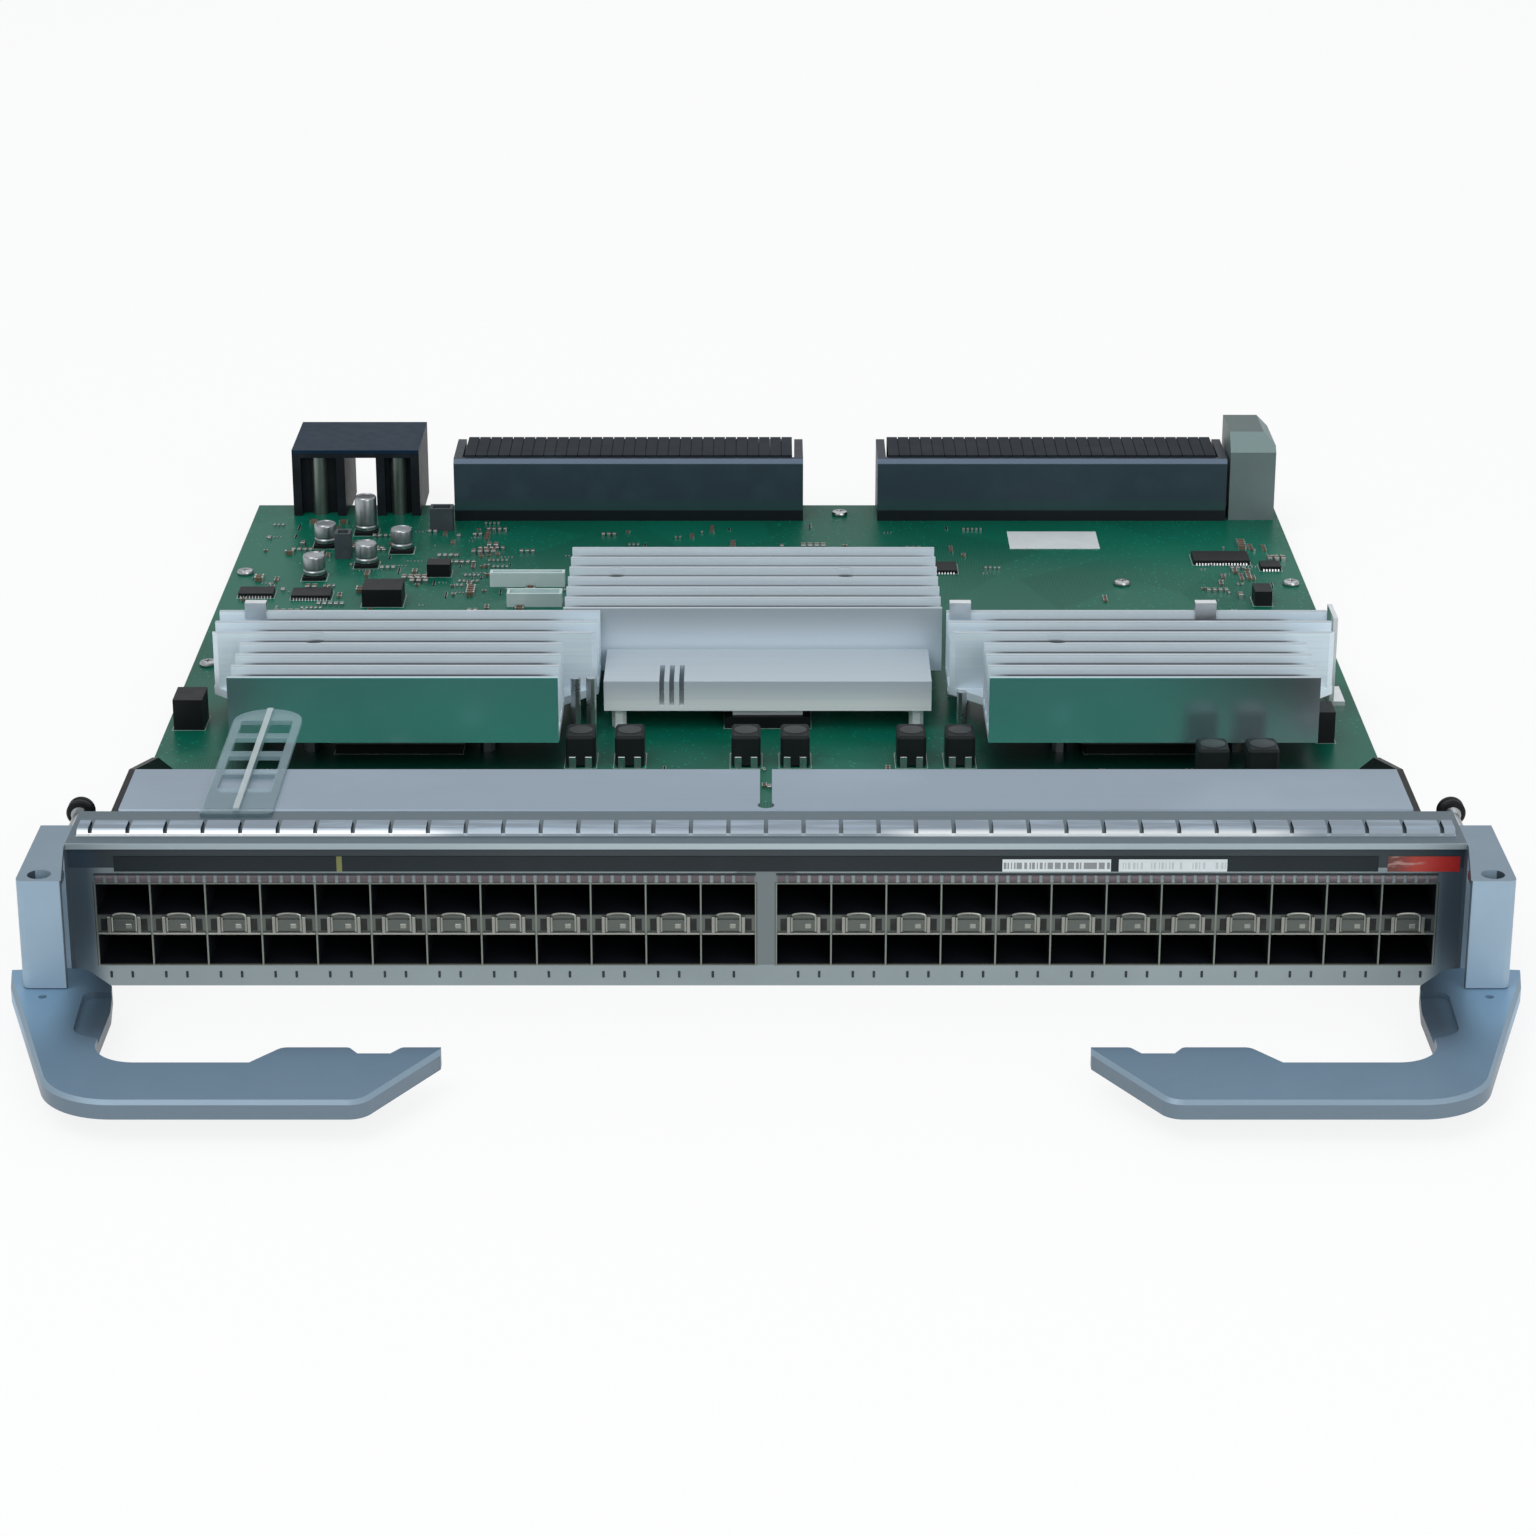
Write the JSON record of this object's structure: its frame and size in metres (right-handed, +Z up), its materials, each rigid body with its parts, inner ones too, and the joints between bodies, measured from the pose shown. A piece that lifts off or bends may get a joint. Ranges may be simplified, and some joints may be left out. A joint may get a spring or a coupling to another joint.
{
  "type": "switch line card",
  "caption": "Line card with stacked pluggable ports, finned heatsinks, backplane connectors, captive screws and an ejector lever at each end.",
  "frame": {"origin": "middle of the underside, under the rear face of the front panel's sheet", "axes": "+X to the right seen from the front, +Y back towards the chassis backplane, +Z up"},
  "size_m": [0.3864, 0.5283, 0.0432],
  "materials": {
    "baffle_grey": "grey sheet",
    "package_black": "black mould compound",
    "header_plastic": "pale moulded",
    "label_white": "white matt film",
    "screw_steel": "bright zinc",
    "cage_metal": "nickel plated sheet",
    "tray_steel": "plain sheet steel",
    "heatsink_aluminium": "clear anodised",
    "panel_zinc": "satin light grey finish",
    "guide_zinc": "die cast, bead blasted",
    "clip_white": "bright tinned spring",
    "strip_dark": "dark matt film",
    "backplane_plastic": "dark moulded",
    "wafer_plastic": "dark moulded wafers",
    "cage_bar": "nickel plated sheet",
    "knob_steel": "turned steel",
    "bracket_zinc": "satin paint on die casting",
    "lever_paint": "satin blue-grey paint",
    "pin_steel": "ground steel",
    "connector_plastic": "black moulded",
    "ring_nylon": "dark nylon",
    "cover_metal": "satin plated sheet",
    "light_pipe": "clear moulded",
    "circuit_board": "green solder mask with traces",
    "spring_metal": "bright spring strip",
    "contact_gold": "gold plated contacts",
    "inductor_black": "dark mould compound",
    "tag_clear": "clear tinted moulding",
    "label_red": "red matt film",
    "capacitor_can": "drawn can"
  },
  "bodies": {
    "card": {"air_baffle": "baffle_grey", "board_chips": "package_black", "board_headers": "header_plastic", "board_label": "label_white", "board_posts": "screw_steel", "board_screws": "screw_steel", "bracket_screws": "screw_steel", "cage_floors": "cage_metal", "carrier_tray": "tray_steel", "centre_heat_spreader": "heatsink_aluminium", "centre_heatsink": "heatsink_aluminium", "chip_packages": "package_black", "front_panel": "panel_zinc", "guide_block": "guide_zinc", "gusset_screws": "screw_steel", "heatsink_clips": "clip_white", "heatsink_posts": "screw_steel", "heatsink_screws": "screw_steel", "label_strip": "strip_dark", "left_backplane_housing": "backplane_plastic", "left_backplane_wafers": "wafer_plastic", "left_cage_dividers": "cage_metal", "left_cage_mid_bars": "cage_bar", "left_cage_shell": "cage_metal", "left_end_bracket": "bracket_zinc", "left_heatsink": "heatsink_aluminium", "left_pivot_pin": "pin_steel", "left_port_connectors": "connector_plastic", "left_side_gusset": "cover_metal", "light_pipes": "light_pipe", "main_board": "circuit_board", "port_emi_springs": "spring_metal", "power_blades": "contact_gold", "power_connector": "connector_plastic", "power_inductors": "inductor_black", "pull_tag": "tag_clear", "red_end_label": "label_red", "right_backplane_housing": "backplane_plastic", "right_backplane_wafers": "wafer_plastic", "right_cage_dividers": "cage_metal", "right_cage_mid_bars": "cage_bar", "right_cage_shell": "cage_metal", "right_end_bracket": "bracket_zinc", "right_heatsink": "heatsink_aluminium", "right_pivot_pin": "pin_steel", "right_port_connectors": "connector_plastic", "right_side_gusset": "cover_metal", "storage_capacitors": "capacitor_can", "top_cover": "cover_metal", "top_emi_fingers": "spring_metal", "tray_rivets": "screw_steel", "white_labels": "label_white"},
    "left_lever": {"left_lever": "lever_paint"},
    "right_lever": {"right_lever": "lever_paint"},
    "left_ring": {"left_screw_ring": "ring_nylon"},
    "right_ring": {"right_screw_ring": "ring_nylon"},
    "left_screw": {"left_captive_screw": "knob_steel"},
    "right_screw": {"right_captive_screw": "knob_steel"}
  },
  "joints": [
    {"name": "left_lever_hinge", "type": "hinge", "parent": "card", "child": "left_lever", "pos_m": [-0.183, -0.0247, 0.007], "axis": [0, 0, 1], "range_deg": [-60, 0]},
    {"name": "left_screw_slide", "type": "slide", "parent": "card", "child": "left_ring", "axis": [0, -1, 0], "range_m": [0, 0.006]},
    {"name": "left_screw_turn", "type": "hinge", "parent": "left_ring", "child": "left_screw", "pos_m": [-0.183, 0.037, 0.0338], "axis": [0, 1, 0], "continuous": true},
    {"name": "right_lever_hinge", "type": "hinge", "parent": "card", "child": "right_lever", "pos_m": [0.183, -0.0247, 0.007], "axis": [0, 0, 1], "range_deg": [0, 60]},
    {"name": "right_screw_slide", "type": "slide", "parent": "card", "child": "right_ring", "axis": [0, -1, 0], "range_m": [0, 0.006]},
    {"name": "right_screw_turn", "type": "hinge", "parent": "right_ring", "child": "right_screw", "pos_m": [0.183, 0.037, 0.0338], "axis": [0, 1, 0], "continuous": true}
  ]
}
